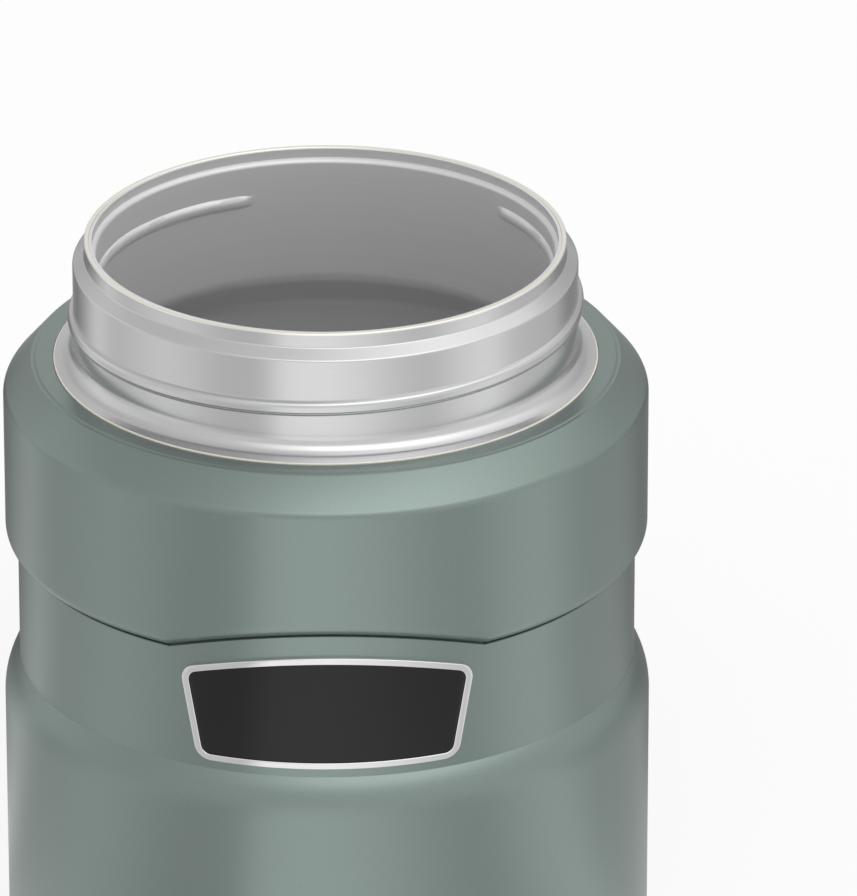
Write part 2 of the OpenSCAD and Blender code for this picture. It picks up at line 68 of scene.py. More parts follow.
def add_node(tree, kind, settings=(), inputs=(), links=()):
    """Add a node, set its properties and inputs, and link sockets into its inputs."""
    node = tree.nodes.new(kind)
    for name, value in dict(settings).items():
        setattr(node, name, value)
    for name, value in dict(inputs).items():
        node.inputs[name].default_value = value
    for name, socket in dict(links).items():
        tree.links.new(socket, node.inputs[name])
    return node


def cloth_round(tree, place, levels):
    """Grey levels round the jar: azimuth in degrees (0 in front, + to the right), level."""
    split = add_node(tree, "ShaderNodeSeparateXYZ", links={0: place})
    front = add_node(tree, "ShaderNodeMath", {"operation": "MULTIPLY"}, {1: -1.0},
                     {0: split.outputs["Y"]})
    turn = add_node(tree, "ShaderNodeMath", {"operation": "ARCTAN2"},
                    links={0: split.outputs["X"], 1: front.outputs[0]})
    share = add_node(tree, "ShaderNodeMath", {"operation": "MULTIPLY_ADD"},
                     {1: 0.5 / math.pi, 2: 0.5}, {0: turn.outputs[0]})
    ramp = add_node(tree, "ShaderNodeValToRGB", links={0: share.outputs[0]})
    stops = ramp.color_ramp.elements
    stops.remove(stops[-1])
    for k, (azimuth_at, level) in enumerate(levels):
        stop = stops[0] if k == 0 else stops.new(0.5 + azimuth_at / 360)
        stop.position = 0.5 + azimuth_at / 360
        stop.color = (level, level, level, 1.0)
    return ramp.outputs[0], split.outputs["Z"]


# The cards' glow on the floor, the cloth up to some 32 degrees, that up to 62, and the top.
# A scratch program fitted these levels to the bright and dark bands on the jar. They were then
# rounded, and those of the two lower heights of cloth were partly changed.
card_glow_levels = (
    (-180, 0.55), (-165, 0.5), (-150, 0.15), (-135, 0.4), (-120, 0.9), (-105, 0.65), (-75, 0.87),
    (-60, 0.8), (-45, 0.65), (-26, 0.63), (-19, 1.1), (0, 1.12), (15, 1.0), (30, 0.8), (45, 0.68),
    (60, 0.93), (75, 1.05), (90, 0.72), (120, 0.62), (135, 0.28), (150, 0.28), (165, 0.45),
    (180, 0.55))
low_levels = ((-180, 0.8), (-150, 0.55), (-120, 0.92), (-75, 0.75), (-30, 0.8), (0, 0.9), (60, 0.9),
              (90, 0.92), (120, 0.8), (150, 0.5), (180, 0.8))
high_levels = ((-180, 0.9), (-135, 0.65), (-90, 0.7), (-45, 0.8), (0, 1.8), (45, 1.85), (90, 1.3),
               (135, 1.0), (180, 0.9))
top_levels = ((-180, 0.7), (-120, 0.6), (-60, 0.75), (0, 1.0), (60, 1.2), (120, 1.0), (180, 0.7))
# sines of the elevations between which the cloth below gives way to this one
high_from, top_from = (0.45, 0.62), (0.84, 0.93)
world = bpy.data.worlds.new("light_tent")
bpy.context.scene.world = world
world.use_nodes = True
tree = world.node_tree
tree.nodes.clear()
way = add_node(tree, "ShaderNodeTexCoord")
cloth, height = cloth_round(tree, way.outputs["Generated"], low_levels)
for levels, (ends, begins) in ((high_levels, high_from), (top_levels, top_from)):
    above, _ = cloth_round(tree, way.outputs["Generated"], levels)
    share = add_node(tree, "ShaderNodeMapRange", {"interpolation_type": "SMOOTHSTEP"},
                     {"From Min": ends, "From Max": begins}, {"Value": height})
    both = add_node(tree, "ShaderNodeMix", {"data_type": "RGBA"},
                    links={0: share.outputs[0], 6: cloth, 7: above})
    cloth = both.outputs[2]
tent_light = add_node(tree, "ShaderNodeBackground", {}, {"Strength": 1.0}, {"Color": cloth})
white_light = add_node(tree, "ShaderNodeBackground", {}, {"Strength": 1.0})
path = add_node(tree, "ShaderNodeLightPath")
seen = add_node(tree, "ShaderNodeMixShader",
                links={0: path.outputs["Is Camera Ray"], 1: tent_light.outputs[0],
                       2: white_light.outputs[0]})
add_node(tree, "ShaderNodeOutputWorld", links={"Surface": seen.outputs[0]})

floor_w, cards_r, cards_z = 6.0, 2.9, 0.0001           # metres
floor_glow = 0.85                       # share of its own white in what the eye sees of it
bpy.ops.mesh.primitive_plane_add(size=floor_w)
floor = bpy.context.object
floor.name = "floor"
white_sweep = bpy.data.materials.new("white_paper_sweep")
white_sweep.use_nodes = True
tree = white_sweep.node_tree
tree.nodes.clear()
paper = add_node(tree, "ShaderNodeBsdfDiffuse", inputs={"Color": linear("#f4f4f2")})
glow = add_node(tree, "ShaderNodeEmission", inputs={"Strength": 1.0})
path = add_node(tree, "ShaderNodeLightPath")
either = add_node(tree, "ShaderNodeMath", {"operation": "MAXIMUM"},
                  links={0: path.outputs["Is Camera Ray"], 1: path.outputs["Is Glossy Ray"]})
any_of = add_node(tree, "ShaderNodeMath", {"operation": "MAXIMUM"},
                  links={0: either.outputs[0], 1: path.outputs["Is Transmission Ray"]})
part = add_node(tree, "ShaderNodeMath", {"operation": "MULTIPLY"}, {1: floor_glow},
                {0: any_of.outputs[0]})
mixed = add_node(tree, "ShaderNodeMixShader",
                 links={0: part.outputs[0], 1: paper.outputs[0], 2: glow.outputs[0]})
add_node(tree, "ShaderNodeOutputMaterial", links={"Surface": mixed.outputs[0]})
floor.data.materials.append(white_sweep)

bpy.ops.mesh.primitive_circle_add(vertices=96, radius=cards_r, fill_type="NGON",
                                  location=(0.0, 0.0, cards_z))
cards = bpy.context.object
cards.name = "glowing_cards_round_the_jar"
cards.visible_camera = cards.visible_diffuse = cards.visible_shadow = False
card = bpy.data.materials.new("glowing_grey_and_white_card")
card.use_nodes = True
tree = card.node_tree
tree.nodes.clear()
place = add_node(tree, "ShaderNodeTexCoord")
laid, _ = cloth_round(tree, place.outputs["Object"], card_glow_levels)
# the cards glow: this glow stands in for light on the cards, and only the jar's reflections show it
glow = add_node(tree, "ShaderNodeEmission", inputs={"Strength": 1.0}, links={"Color": laid})
add_node(tree, "ShaderNodeOutputMaterial", links={"Surface": glow.outputs[0]})
cards.data.materials.append(card)


# ------------------------------------------------------------------- outer shell
# The painted casing, pressed from 0.5 mm stainless sheet: a sloping shoulder, a
# standing ring whose lower edge arches over the badge, a drawn-in grip band, and a
# round foot. It is powder coated in sage green before the jar is put together.
jar_h = 111.6
wall_t = 0.5
body_r, ring_r, band_r = 47.5, 47.05, 45.25
neck_r, flange_r = 36.7, 39.65
foot_hole_r, foot_round = 42.0, 3.0
shoulder_z, ring_z, band_z = 93.3, 65.2, 46.7
flange_z = shoulder_z + 0.2
flange_gap, shoulder_flat = 0.1, 2.5
shoulder_slope, shoulder_round, ring_round = 49.0, 1.7, 2.1
coin_w, coin_d, coin_flank = 0.5, 0.14, 0.35           # coined line where the flat turns down
edge_w, edge_d = 0.1, 0.16
under_round, band_round = 2.6, 10.9
arch_half_angle, arch_rise = 30.0, 4.2
seam_w, seam_d, seam_edge = 0.36, 0.85, 0.1            # groove where ring and band meet


def arc(cx, cz, r, a0, a1, n):
    """Points along an arc about (cx, cz), from angle a0 to a1 in degrees."""
    angles = [math.radians(a0 + (a1 - a0) * k / n) for k in range(n + 1)]
    return [(cx + r * math.cos(a), cz + r * math.sin(a)) for a in angles]


def pick(piece):
    """Select this piece alone and make it the active one."""
    bpy.ops.object.select_all(action="DESELECT")
    piece.select_set(True)
    bpy.context.view_layer.objects.active = piece


def open_mesh(piece):
    """Go into this piece's mesh with all of it selected."""
    pick(piece)
    bpy.ops.object.mode_set(mode="EDIT")
    bpy.ops.mesh.select_all(action="SELECT")


def close_up(piece, within=0.0):
    """Weld points that lie within this many mm of each other and turn the faces outwards."""
    open_mesh(piece)
    if within:
        bpy.ops.mesh.remove_doubles(threshold=within * MM)
    bpy.ops.mesh.normals_make_consistent(inside=False)
    bpy.ops.object.mode_set(mode="OBJECT")


def turned(name, line, steps=240, centre=(0.0, 0.0)):
    """Draw a ring of edges out and up through the points (radius, height) of line.

    A line that starts or ends on the axis gets a closed end there, and one that ends
    where it starts is a closed band.
    """
    hub = line[0][0] == 0
    line = line[1:] if hub else line
    bpy.ops.object.select_all(action="DESELECT")
    bpy.ops.mesh.primitive_circle_add(vertices=steps, radius=line[0][0] * MM,
                                      fill_type="TRIFAN" if hub else "NOTHING")
    piece = bpy.context.object
    piece.name = piece.data.name = name
    bpy.ops.object.mode_set(mode="EDIT")
    bpy.ops.mesh.select_mode(type="VERT")
    bpy.ops.mesh.select_all(action="SELECT")
    middle = (centre[0] * MM, centre[1] * MM, 0.0)
    bpy.ops.transform.translate(value=(middle[0], middle[1], line[0][1] * MM))
    if hub:
        bpy.ops.mesh.select_all(action="DESELECT")
        bpy.ops.mesh.select_non_manifold()
    for (r0, z0), (r1, z1) in zip(line, line[1:]):
        bpy.ops.mesh.extrude_region_move(
            TRANSFORM_OT_translate={"value": (0.0, 0.0, (z1 - z0) * MM)})
        if r1 != r0:
            bpy.ops.transform.resize(value=(r1 / r0, r1 / r0, 1.0), center_override=middle)
    if line[-1][0] == 0:
        bpy.ops.mesh.merge(type="CENTER")
    bpy.ops.object.mode_set(mode="OBJECT")
    close_up(piece, 0.01 if line[-1] == line[0] else 0.0)
    # an open sheet may still face the axis
    flux = sum(face.normal.xy.dot((face.center - Vector(middle)).xy) * face.area
               for face in piece.data.polygons)
    if flux < 0:
        open_mesh(piece)
        bpy.ops.mesh.flip_normals()
        bpy.ops.object.mode_set(mode="OBJECT")
    return piece


def apply_modifier(piece, kind, **settings):
    """Give the piece a modifier with these settings and apply it."""
    pick(piece)
    modifier = piece.modifiers.new(kind.lower(), kind)
    for name, value in settings.items():
        setattr(modifier, name, value)
    bpy.ops.object.modifier_apply(modifier=modifier.name)


def sheet_metal(piece):
    """Give the piece the thickness of the jar's sheet, inwards."""
    apply_modifier(piece, "SOLIDIFY", thickness=wall_t * MM, offset=-1.0, use_even_offset=True)


def smooth(piece, angle=32.0):
    """Shade the piece smooth, with folds of more than this many degrees left crisp."""
    pick(piece)
    bpy.ops.object.shade_smooth_by_angle(angle=math.radians(angle))


def azimuth(point, centre=(0.0, 0.0)):
    """Angle of a point round the axis in degrees, 0 in front and + to the right."""
    return math.degrees(math.atan2(point.x - centre[0] * MM, centre[1] * MM - point.y))


slope = math.radians(shoulder_slope)
shoulder_c = (flange_r + shoulder_flat, shoulder_z - shoulder_round)
ring_c_r = ring_r - ring_round
ring_c_z = (math.sin(slope) * (shoulder_c[0] - ring_c_r) + math.cos(slope) * shoulder_c[1]
            + shoulder_round - ring_round) / math.cos(slope)
under_angle = math.acos((band_r - ring_r + under_round) / under_round)
under_h = under_round * math.sin(under_angle)
band_c_r = body_r - band_round
band_angle = math.acos((band_r - band_c_r) / band_round)
band_c_z = band_z - band_round * math.sin(band_angle)
arch_half_w = band_r * math.sin(math.radians(arch_half_angle))
arch_r = (arch_half_w ** 2 + arch_rise ** 2) / (2 * arch_rise)


def arch_lift(angle):
    """How far the ring's lower edge stands above its level part, in mm."""
    if abs(angle) >= arch_half_angle:
        return 0.0
    across = band_r * math.sin(math.radians(angle))
    return math.sqrt(arch_r ** 2 - across ** 2) - arch_r + arch_rise


edge_r = (shoulder_c[0] + shoulder_round * math.sin(slope)
          + (shoulder_round * math.cos(slope) - shoulder_round + coin_d) / math.tan(slope))
casing_line = (
    [(neck_r, flange_z - wall_t), (flange_r + flange_gap, flange_z - wall_t),
     (flange_r + flange_gap, shoulder_z), (edge_r - coin_w - coin_flank, shoulder_z),
     (edge_r - coin_w, shoulder_z - coin_d), (edge_r - edge_w, shoulder_z - coin_d),
     (edge_r + edge_w, shoulder_z - coin_d - edge_d)]
    + arc(ring_c_r, ring_c_z, ring_round, 90 - shoulder_slope, 0, 12))
under_first = len(casing_line)
casing_line += arc(ring_r - under_round, ring_z + under_h, under_round,
                   0, -math.degrees(under_angle), 10)
casing_line += [(band_r - seam_d, ring_z), (band_r - seam_d, ring_z - seam_w),
                (band_r - seam_edge, ring_z - seam_w), (band_r, ring_z - seam_w - seam_edge)]
under_last = len(casing_line)
casing_line += (
    arc(band_c_r, band_c_z, band_round, math.degrees(band_angle), 0, 16)
    + arc(body_r - foot_round, foot_round, foot_round, 0, -90, 10) + [(foot_hole_r, 0.0)])
casing_steps = 240
casing = turned("casing", casing_line, casing_steps)
for row in range(under_first, under_last):
    for vertex in casing.data.vertices[row * casing_steps:(row + 1) * casing_steps]:
        vertex.co.z += arch_lift(azimuth(vertex.co)) * MM
sheet_metal(casing)
smooth(casing, 18.0)


def new_finish(name, metallic, roughness):
    """A material with its node tree, its shader and its Object coordinates."""
    material = bpy.data.materials.new(name)
    material.use_nodes = True
    tree = material.node_tree
    shader = tree.nodes["Principled BSDF"]
    shader.inputs["Metallic"].default_value = metallic
    shader.inputs["Roughness"].default_value = roughness
    return material, tree, shader, add_node(tree, "ShaderNodeTexCoord").outputs["Object"]


def dress(tree, shader, colour, toned_by, raised_by, strength, depth_mm):
    """Give the shader two close tones after one pattern, and let another stand out a little."""
    tone = add_node(tree, "ShaderNodeMix", {"data_type": "RGBA"},
                    {6: linear(colour[0]), 7: linear(colour[1])}, {0: toned_by.outputs["Fac"]})
    bump = add_node(tree, "ShaderNodeBump", {}, {"Strength": strength, "Distance": depth_mm * MM},
                    {"Height": raised_by.outputs["Fac"]})
    tree.links.new(tone.outputs[2], shader.inputs["Base Color"])
    tree.links.new(bump.outputs[0], shader.inputs["Normal"])


def powder_coat(name, colour):
    """Satin powder coat: fine metal flakes under a low orange peel, so broad soft bands."""
    material, tree, shader, place = new_finish(name, 0.95, 0.31)
    # flakes some 0.1 mm across are drawn at 0.25 mm so that they show
    flakes = add_node(tree, "ShaderNodeTexNoise",
                      inputs={"Scale": 1 / (0.25 * MM), "Detail": 2.0, "Roughness": 0.6},
                      links={"Vector": place})
    # orange peel: low swellings about 1.2 mm from crest to crest
    peel = add_node(tree, "ShaderNodeTexNoise",
                    inputs={"Scale": 1 / (1.2 * MM), "Detail": 3.0, "Roughness": 0.55},
                    links={"Vector": place})
    dress(tree, shader, colour, flakes, peel, 0.35, 0.02)
    return material


sage_coat = powder_coat("powder_coated_steel_sage", ("#808d88", "#8a9792"))
casing.data.materials.append(sage_coat)
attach(casing, "jar")
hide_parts("outer_shell")


# -------------------------------------------------------------------------- neck
# Bare stainless sleeve: an upright lip stepped out to a straight wall, one rolled
# helical bead that the cup lid screws on, and a flared flange seated on the painted
# shoulder. It is spun and lathe polished.
lip_r, lip_foot_z, lip_step_z = 35.0, 109.4, 108.05
lip_edge, lip_round, step_round = 0.05, 0.35, 0.5
weld_in_r, weld_h = 34.25, 0.3
flare_round, flare_end, flare_tilt, flange_edge = 2.6, 252, math.radians(18), 0.2
bead_mid_z, bead_pitch, bead_w, bead_h = 100.85, 4.7, 2.1, 0.8
bead_reach, bead_fade = 190.0, 20.0
bead_fillet, bead_fillet_w, bead_crown = 0.1, 0.25, 2.2
lean_reach, lean_fade, lean_h, lean_fade_h = 150, 50, 4.2, 2.8
neck_rows, wall_slack = 110, 0.02


def rounded(points):
    """Round the corners of a line: each point is (radius, height) or (radius, height, round)."""
    line = [tuple(points[0][:2])]
    for before, here, after in zip(points, points[1:], points[2:]):
        corner = Vector(here[:2])
        if len(here) < 3:
            line.append(tuple(corner))
            continue
        back = (Vector(before[:2]) - corner).normalized()
        on = (Vector(after[:2]) - corner).normalized()
        half = back.angle(on) / 2
        reach = here[2] / math.tan(half)
        heart = corner + (back + on).normalized() * here[2] / math.sin(half)
        start, end = corner + back * reach - heart, corner + on * reach - heart
        a0, a1 = math.atan2(start.y, start.x), math.atan2(end.y, end.x)
        turn_by = (a1 - a0 + math.pi) % (2 * math.pi) - math.pi
        n = max(2, round(abs(turn_by) / math.radians(9)))
        line += [(heart.x + here[2] * math.cos(a0 + turn_by * k / n),
                  heart.y + here[2] * math.sin(a0 + turn_by * k / n)) for k in range(n + 1)]
    return line + [tuple(points[-1][:2])]


def bead_share(off):
    """Height share of a rolled bead at off half widths: full face, quick flanks, fillets."""
    if abs(off) < 1:
        return bead_fillet + (1 - bead_fillet) * (1 - abs(off) ** bead_crown) ** (1 / bead_crown)
    return bead_fillet * max(0.0, 1 - (abs(off) - 1) / bead_fillet_w) ** 2


def roll_bead(piece, wall_r, mid_z, pitch, width, height, reach, fade, centre=(0.0, 0.0)):
    """Press a helical bead into a wall of this radius, from one azimuth to the other."""
    middle = Vector((*centre, 0.0)) * MM
    for vertex in piece.data.vertices:
        out = vertex.co - middle
        out.z = 0.0
        if abs(out.length / MM - wall_r) > wall_slack:
            continue
        lift = 0.0
        turns = math.ceil(max(-reach[0], reach[1]) / 360)
        for k in range(-turns, turns + 1):
            angle = azimuth(vertex.co, centre) + 360 * k
            off = (vertex.co.z / MM - mid_z - pitch * angle / 360) / (width / 2)
            if reach[0] < angle < reach[1]:
                rise = min(1.0, (angle - reach[0]) / fade, (reach[1] - angle) / fade)
                lift += height * rise * rise * (3 - 2 * rise) * bead_share(off)
        vertex.co += out.normalized() * lift * MM


flat_w = flange_r - flange_edge - neck_r - flare_round * (1 + math.cos(math.radians(flare_end)))
flare_z = flange_z + flat_w * math.tan(flare_tilt) - flare_round * math.sin(math.radians(flare_end))
neck_line = rounded([
    (weld_in_r, jar_h - weld_h / 2), (lip_r - lip_edge, jar_h - weld_h / 2, lip_edge),
    (lip_r, lip_foot_z, lip_round), (neck_r, lip_step_z, step_round),
    (neck_r, lip_step_z - step_round)])
neck_top, neck_foot = neck_line[-1][1], flare_z + 0.15
neck_line += [(neck_r, neck_top + (neck_foot - neck_top) * k / neck_rows)
              for k in range(1, neck_rows + 1)]
neck_line += arc(neck_r + flare_round, flare_z, flare_round, 180, flare_end, 12)
neck_line += arc(flange_r - flange_edge, flange_z - flange_edge, flange_edge, 90, 0, 4)
neck = turned("neck", neck_line)
# in front the rows lean with the bead, so that its edges run along them
for vertex in neck.data.vertices:
    turned_by, off = azimuth(vertex.co), abs(vertex.co.z / MM - bead_mid_z)
    if abs(turned_by) < lean_reach and off < lean_h:
        share = (min(1.0, (lean_reach - abs(turned_by)) / lean_fade)
                 * min(1.0, (lean_h - off) / lean_fade_h))
        vertex.co.z += bead_pitch * turned_by / 360 * share * MM
roll_bead(neck, neck_r, bead_mid_z, bead_pitch, bead_w, bead_h, (-bead_reach, bead_reach),
          bead_fade)
sheet_metal(neck)
smooth(neck)


def turned_steel(name, colour, roughness, anisotropy, line_step, line_depth,
                 centre=(0.0, 0.0), metallic=1.0):
    """Lathe-polished steel: fine rings round the axis that draw highlights out lengthways."""
    material, tree, shader, place = new_finish(name, metallic, roughness)
    shader.inputs["Anisotropic"].default_value = anisotropy
    turning = add_node(tree, "ShaderNodeTangent", {"direction_type": "RADIAL", "axis": "Z"})
    tree.links.new(turning.outputs[0], shader.inputs["Tangent"])
    # the rings lie one line_step apart in height and barely change round the wall
    stretched = add_node(tree, "ShaderNodeMapping",
                         inputs={"Location": (-centre[0] * MM, -centre[1] * MM, 0.0),
                                 "Scale": (20.0, 20.0, 1 / (line_step * MM))},
                         links={"Vector": place})
    rings = add_node(tree, "ShaderNodeTexNoise",
                     inputs={"Scale": 1.0, "Detail": 2.0, "Roughness": 0.6},
                     links={"Vector": stretched.outputs[0]})
    dress(tree, shader, colour, rings, rings, 0.3, line_depth)
    return material


# polished on the lathe: clear reflections, drawn out a little up and down the wall
neck.data.materials.append(
    turned_steel("stainless_steel_turned_neck", ("#cdcdce", "#d1d1d2"), 0.21, 0.5, 0.5, 0.0006))
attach(neck, "jar")
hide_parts("neck_sleeve")


# ------------------------------------------------------------- flange's cut edge
# The flange's rim, where the sheet was cut and deburred. Its near-white cream colour is a painted
# highlight that runs all round as a fine pale line.
cut_w, cut_h, cut_lift = 0.22, 0.3, 0.02
edge_line = rounded([
    (flange_r - cut_w, flange_z - cut_h), (flange_r - cut_w, flange_z + cut_lift, 0.08),
    (flange_r, flange_z + cut_lift, 0.12), (flange_r, flange_z - cut_h),
    (flange_r - cut_w, flange_z - cut_h)])
edge = turned("flange_cut_edge", edge_line)
smooth(edge, 60.0)


def plain(name, colour, metallic, roughness, grain_mm, depth_mm, **sockets):
    """A moulded, cast or pressed finish: two close tones and a low grain of one size."""
    material, tree, shader, place = new_finish(name, metallic, roughness)
    for socket, value in sockets.items():
        shader.inputs[socket.replace("_", " ")].default_value = value
    grain = add_node(tree, "ShaderNodeTexNoise",
                     inputs={"Scale": 1 / (grain_mm * MM), "Detail": 3.0, "Roughness": 0.55},
                     links={"Vector": place})
    dress(tree, shader, colour, grain, grain, 0.4, depth_mm)
    return material


# painted highlight: near-white cream, so the rim shows as a fine pale line
edge.data.materials.append(
    plain("steel_edge_painted_highlight", ("#f4ede0", "#faf4e8"), 0.35, 0.5, 0.2, 0.001))
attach(edge, "jar")


# --------------------------------------------------------------- lip's seam weld
# The seam weld that joins the neck's lip to the vessel inside it, ground and buffed. Its
# near-white, slightly warm colour is a painted highlight that runs round the mouth as a bright
# line.
weld_round = weld_h * 0.6
weld_line = rounded([
    (weld_in_r, jar_h - weld_h), (weld_in_r, jar_h, weld_round), (lip_r, jar_h, weld_round),
    (lip_r, jar_h - weld_h), (weld_in_r, jar_h - weld_h)])
weld = turned("lip_seam_weld", weld_line)
smooth(weld, 60.0)
# painted highlight: near-white and slightly warm, so the mouth shows a bright line
weld.data.materials.append(
    turned_steel("steel_weld_painted_highlight", ("#efece2", "#f8f5ec"), 0.2, 0.4, 0.5, 0.002))
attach(weld, "jar")


# ------------------------------------------------------------------ inner vessel
# The food vessel, drawn from stainless sheet, its inside satin. Its mouth is narrower
# than its belly and has a stepped lead-in and a rolled ridge that the stopper screws on.
vessel_r, vessel_round, vessel_top_round = 41.5, 9.0, 5.0
vessel_slope, vessel_neck_round = 40.0, 2.5
vessel_floor_z = 6.5
mouth_r, mouth_foot_z = 33.2, 92.0
lead_in_h, lead_round, lead_flat, weld_lap, vessel_rows = 1.6, 0.25, 0.6, 0.1, 84
neck_out_r = mouth_r + wall_t
tilt = math.radians(vessel_slope)
hollow_c = (neck_out_r + vessel_neck_round, mouth_foot_z)
vessel_top_z = (hollow_c[1] + math.tan(tilt) * (hollow_c[0] - vessel_r + vessel_top_round)
                - (vessel_neck_round + vessel_top_round) / math.cos(tilt))
ridge_z, ridge_pitch, ridge_w, ridge_h = 105.5, 3.0, 1.3, 0.5
ridge_from, ridge_to, ridge_fade = -161.0, 130.0, 3.0
vessel_line = (
    [(0.0, vessel_floor_z), (8.0, vessel_floor_z)]
    + arc(vessel_r - vessel_round, vessel_floor_z + vessel_round, vessel_round, -90, 0, 18)
    + arc(vessel_r - vessel_top_round, vessel_top_z, vessel_top_round, 0, 90 - vessel_slope, 10)
    + arc(*hollow_c, vessel_neck_round, 270 - vessel_slope, 180, 8))
mouth_top = jar_h - lead_in_h - wall_t
mouth_wall_h = mouth_top - lead_flat - mouth_foot_z
vessel_line += [(neck_out_r, mouth_foot_z + mouth_wall_h * k / vessel_rows)
                for k in range(1, vessel_rows + 1)]
vessel_line += rounded([
    (neck_out_r, mouth_top - 0.5), (neck_out_r, mouth_top, lead_round),
    (weld_in_r + weld_lap, mouth_top + lead_round, lead_round),
    (weld_in_r + weld_lap, jar_h - weld_h / 2)])
vessel = turned("vessel", vessel_line)
roll_bead(vessel, neck_out_r, ridge_z, ridge_pitch, ridge_w, -ridge_h, (ridge_from, ridge_to),
          ridge_fade)
sheet_metal(vessel)
smooth(vessel)
# a satin inside scatters light from wall to wall, so it reads paler than polished steel
vessel.data.materials.append(
    turned_steel("stainless_steel_satin_vessel", ("#dedede", "#e4e4e4"), 0.42, 0.3, 0.6, 0.001,
                 metallic=0.5))
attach(vessel, "jar")
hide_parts("inner_vessel")


# -------------------------------------------------------------------------- base
# The pan that closes the vacuum space and the cover disc pressed into it, both bare
# stainless. The disc has one shallow ring pressed round it to keep it flat.
disc_z, disc_foot_z, brim_w, brim_round = 1.2, 0.3, 2.0, 0.8
rib_z, rib_in_r, rib_out_r, rib_flank, rib_round = 1.75, 18.2, 21.5, 1.2, 1.0
hub_r, fold_w, foot_lift = 0.6, 0.2, 0.05
disc_under = [
    (0.0, disc_z), (hub_r, disc_z), (rib_in_r - rib_flank, disc_z, rib_round),
    (rib_in_r, rib_z, rib_round), (rib_out_r, rib_z, rib_round),
    (rib_out_r + rib_flank, disc_z, rib_round), (foot_hole_r - brim_w, disc_z, brim_round),
    (foot_hole_r, disc_foot_z)]
disc_over = [
    (foot_hole_r, disc_foot_z - foot_lift + wall_t),
    (foot_hole_r - brim_w - fold_w, disc_z + wall_t, brim_round),
    (rib_out_r + rib_flank - fold_w, disc_z + wall_t), (rib_out_r, rib_z + wall_t, rib_round),
    (rib_in_r, rib_z + wall_t, rib_round), (rib_in_r - rib_flank + fold_w, disc_z + wall_t),
    (hub_r, disc_z + wall_t), (0.0, disc_z + wall_t)]
disc_line = rounded(disc_under + disc_over)
disc = turned("base_disc", disc_line, 144)
smooth(disc)
# as it left the press: dull reflections, drawn out round the disc
disc.data.materials.append(
    turned_steel("stainless_steel_pressed_base", ("#a8a9a9", "#bcbdbd"), 0.34, 0.5, 0.8, 0.004))
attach(disc, "jar")
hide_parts("base_plate")


def finish_nodes(material, *nodes):
    """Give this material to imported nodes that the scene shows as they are."""
    for node in nodes:
        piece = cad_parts[node]
        piece.data.materials.clear()
        piece.data.materials.append(material)


# the pan is dull from the press, the fired seal and the getter darker and nearly matt, and
# the foil warm and bright with soft crinkles
finish_nodes(plain("stainless_steel_pressed_pan", ("#a2a4a5", "#b2b4b5"), 1.0, 0.36, 0.8, 0.01),
             "shell_bottom")
finish_nodes(plain("fired_metal_seal", ("#7d8083", "#8f9295"), 1.0, 0.5, 0.5, 0.02), "vacuum_seal")
finish_nodes(plain("sintered_getter_metal", ("#54575a", "#686b6e"), 1.0, 0.7, 0.2, 0.03), "getter")
finish_nodes(plain("annealed_copper_foil", ("#b06d42", "#c98a5c"), 1.0, 0.28, 3.0, 0.05),
             "heat_foil")


# ------------------------------------------------------------------------- badge
# A thin, bare plate of black lacquered aluminium in a chromed frame, both bent to the
# band's curve and held by an adhesive pad.
badge_z, badge_h = 48.15, 17.65
badge_top_x, badge_foot_x = 21.8, 18.8
badge_arc_r, badge_corner_r = 64.0, 2.4
bezel_w, bezel_t, bezel_edge = 1.05, 0.6, 0.2
tape_t, plate_t, plate_gap, strip_w = 0.2, 0.35, 0.02, 0.75


def badge_outline(inset, n=12):
    """The badge's outline from the front as (across, height), moved inwards by inset."""
    lean = math.atan((badge_top_x - badge_foot_x) / badge_h)
    side = inset / math.cos(lean)
    foot = badge_z + inset
    crown_z = badge_z + badge_h - badge_arc_r
    arc_r = badge_arc_r - inset
    corner = badge_corner_r - inset
    half = []
    # the top's arc from the middle out, then the upper corner, the side and the lower corner
    heart_r = arc_r - corner
    x = badge_top_x
    for _ in range(20):
        z = crown_z + math.sqrt(heart_r ** 2 - x ** 2)
        edge_x = badge_foot_x - side + (z - badge_z) * math.tan(lean)
        x = edge_x - corner / math.cos(lean)
    up = math.degrees(math.atan2(x, z - crown_z))
    for k in range(4 * n):
        a = math.radians(90 - up * k / (4 * n))
        half.append((arc_r * math.cos(a), crown_z + arc_r * math.sin(a)))
    half += arc(x, z, corner, 90 - up, -math.degrees(lean), n)
    low_x = (badge_foot_x - side + (foot + corner - badge_z) * math.tan(lean)
             - corner / math.cos(lean))
    half += arc(low_x, foot + corner, corner, -math.degrees(lean), -90, n)
    half += [(low_x * (1 - k / (2 * n)), foot) for k in range(1, 2 * n)]
    return half + [(0.0, foot)] + [(-x, z) for x, z in half[:0:-1]]


def ring_by_ring(name, rows, fill_type="NOTHING"):
    """Draw a closed line on from row to row; each row is a list of points in mm."""
    bpy.ops.object.select_all(action="DESELECT")
    bpy.ops.mesh.primitive_circle_add(vertices=len(rows[0]), radius=20 * MM, fill_type=fill_type)
    piece = bpy.context.object
    piece.name = piece.data.name = name
    open_mesh(piece)
    for _ in rows[1:]:
        bpy.ops.mesh.extrude_region_move(TRANSFORM_OT_translate={"value": (0.0, 0.0, MM)})
    bpy.ops.object.mode_set(mode="OBJECT")
    for vertex, point in zip(piece.data.vertices, [point for row in rows for point in row]):
        vertex.co = Vector(point) * MM
    close_up(piece, 0.005)
    return piece


def bent(rows):
    """Bend rows of (inset, radius) round the jar: the badge's outline at each."""
    return [[(x, -math.sqrt(radius ** 2 - x ** 2), z) for x, z in badge_outline(inset)]
            for inset, radius in rows]


face_r = band_r + bezel_t
